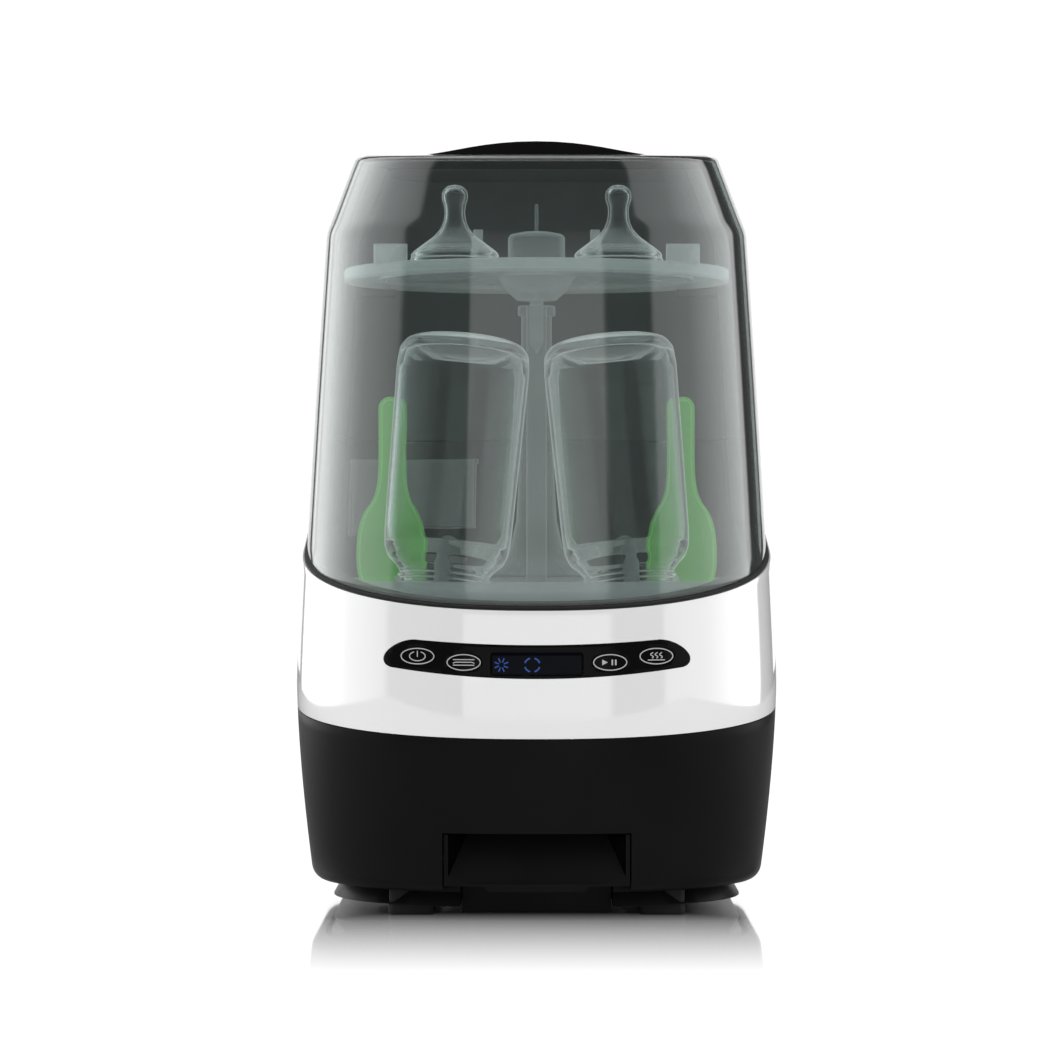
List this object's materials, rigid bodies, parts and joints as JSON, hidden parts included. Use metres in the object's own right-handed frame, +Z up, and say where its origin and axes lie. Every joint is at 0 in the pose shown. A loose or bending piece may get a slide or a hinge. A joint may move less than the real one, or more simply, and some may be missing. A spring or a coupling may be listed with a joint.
{
  "type": "bottle sterilizer",
  "caption": "Countertop washer, steam sterilizer and dryer for baby bottles: smoke dome lid, bottle rack, upper tray, spray tower, front waste tank and rear water tank.",
  "frame": {"origin": "centre of the footprint's bounding box, on the surface the feet stand on", "axes": "+X to the right seen from the front, -Y towards the front panel, +Z up"},
  "size_m": [0.29, 0.34, 0.4686],
  "materials": {
    "white": "gloss white moulded plastic",
    "black": "satin black moulded plastic",
    "panel": "piano-black panel with pale printed symbols",
    "display": "dark window with dim blue symbols",
    "board": "green circuit board",
    "rubber": "matt black rubber",
    "tub": "satin dark grey moulded plastic",
    "liner": "satin mid grey moulded plastic",
    "jet": "satin grey moulded plastic",
    "smoke": "clear smoke-tinted moulded plastic, glossy",
    "translucent": "frosted translucent light grey plastic",
    "clear": "clear glass",
    "silicone": "clear soft silicone",
    "green": "translucent green plastic",
    "steel": "stainless steel",
    "aluminium": "cast aluminium",
    "filter": "white pleated filter paper"
  },
  "bodies": {
    "body": {"base_shell": "black", "base_plate": "black", "foot_front_left": "rubber", "foot_front_right": "rubber", "foot_rear_left": "rubber", "foot_rear_right": "rubber", "main_housing": "white", "wash_tub": "tub", "sump_cup": "tub", "chamber_liner": "liner", "lid_gasket": "rubber", "hinge_bracket_left": "black", "hinge_bracket_right": "black", "hinge_pin": "steel", "hinge_cover": "black", "control_bezel": "panel", "display_module": "display", "control_board": "board", "spray_tower": "translucent", "jet_front_left": "jet", "jet_front_right": "jet", "jet_rear_left": "jet", "jet_rear_right": "jet", "detergent_cup": "translucent", "tank_shelf": "liner", "wash_pump": "black", "drain_pump": "black", "wash_hose": "rubber", "drain_hose": "rubber", "heater_ring": "aluminium", "fan_housing": "black", "air_filter": "filter", "power_board": "board", "power_inlet": "black"},
    "lid": {"dome_lid": "smoke", "lid_bracket": "black"},
    "rack": {"bottle_rack": "translucent"},
    "tray": {"upper_tray": "translucent", "tray_hub": "translucent"},
    "waste_tank": {"waste_tank": "smoke", "waste_tank_front": "black", "waste_tank_lid": "liner"},
    "clean_tank": {"clean_tank": "smoke", "tank_valve": "black"},
    "clean_lid": {"clean_tank_lid": "black"},
    "handle": {"tank_handle": "black"},
    "fan": {"fan_impeller": "liner"},
    "filter_cover": {"filter_cover": "black"},
    "sump_filter": {"sump_filter": "steel"},
    "key_power": {"key_power": "panel"},
    "key_mode": {"key_mode": "panel"},
    "key_start": {"key_start": "panel"},
    "key_dry": {"key_dry": "panel"},
    "bottle_left": {"bottle_left": "clear"},
    "bottle_right": {"bottle_right": "clear"},
    "nipple_left": {"nipple_left": "silicone"},
    "nipple_right": {"nipple_right": "silicone"},
    "spoon_left": {"spoon_left": "green"},
    "spoon_right": {"spoon_right": "green"}
  },
  "joints": [
    {"name": "lid_hinge", "type": "hinge", "parent": "body", "child": "lid", "pos_m": [0, 0.05, 0.4639], "axis": [-1, 0, 0], "range_deg": [0, 80]},
    {"name": "waste_tank_slide", "type": "slide", "parent": "body", "child": "waste_tank", "axis": [0, -1, 0], "range_m": [0, 0.24]},
    {"name": "clean_tank_lift", "type": "slide", "parent": "body", "child": "clean_tank", "axis": [0, 0, 1], "range_m": [0, 0.25]},
    {"name": "clean_tank_lid_lift", "type": "slide", "parent": "clean_tank", "child": "clean_lid", "axis": [0, 0, 1], "range_m": [0, 0.04]},
    {"name": "tank_handle_hinge", "type": "hinge", "parent": "clean_lid", "child": "handle", "pos_m": [0, 0.118, 0.448], "axis": [1, 0, 0], "range_deg": [0, 90]},
    {"name": "key_power_press", "type": "slide", "parent": "body", "child": "key_power", "axis": [0, 1, 0], "range_m": [0, 0.0006], "stiffness_N_per_m": 800},
    {"name": "key_mode_press", "type": "slide", "parent": "body", "child": "key_mode", "axis": [0, 1, 0], "range_m": [0, 0.0006], "stiffness_N_per_m": 800},
    {"name": "key_start_press", "type": "slide", "parent": "body", "child": "key_start", "axis": [0, 1, 0], "range_m": [0, 0.0006], "stiffness_N_per_m": 800},
    {"name": "key_dry_press", "type": "slide", "parent": "body", "child": "key_dry", "axis": [0, 1, 0], "range_m": [0, 0.0006], "stiffness_N_per_m": 800},
    {"name": "fan_spin", "type": "hinge", "parent": "body", "child": "fan", "pos_m": [0.06, 0.12, 0.084], "axis": [0, 1, 0], "continuous": true},
    {"name": "filter_cover_pull", "type": "slide", "parent": "body", "child": "filter_cover", "axis": [0, 1, 0], "range_m": [0, 0.02]},
    {"name": "sump_filter_lift", "type": "slide", "parent": "body", "child": "sump_filter", "axis": [0, 0, 1], "range_m": [0, 0.012]},
    {"name": "rack_lift", "type": "slide", "parent": "body", "child": "rack", "axis": [0, 0, 1], "range_m": [0, 0.004]},
    {"name": "tray_lift", "type": "slide", "parent": "body", "child": "tray", "axis": [0, 0, 1], "range_m": [0, 0.006]},
    {"name": "bottle_left_lift", "type": "slide", "parent": "rack", "child": "bottle_left", "axis": [0.0864, 0.1305, 0.9877], "range_m": [0, 0.009]},
    {"name": "bottle_right_lift", "type": "slide", "parent": "rack", "child": "bottle_right", "axis": [-0.0864, 0.1305, 0.9877], "range_m": [0, 0.009]},
    {"name": "nipple_left_lift", "type": "slide", "parent": "tray", "child": "nipple_left", "axis": [0, 0, 1], "range_m": [0, 0.006]},
    {"name": "nipple_right_lift", "type": "slide", "parent": "tray", "child": "nipple_right", "axis": [0, 0, 1], "range_m": [0, 0.006]},
    {"name": "spoon_left_lift", "type": "slide", "parent": "rack", "child": "spoon_left", "axis": [0, 0, 1], "range_m": [0, 0.04]},
    {"name": "spoon_right_lift", "type": "slide", "parent": "rack", "child": "spoon_right", "axis": [0, 0, 1], "range_m": [0, 0.04]}
  ]
}
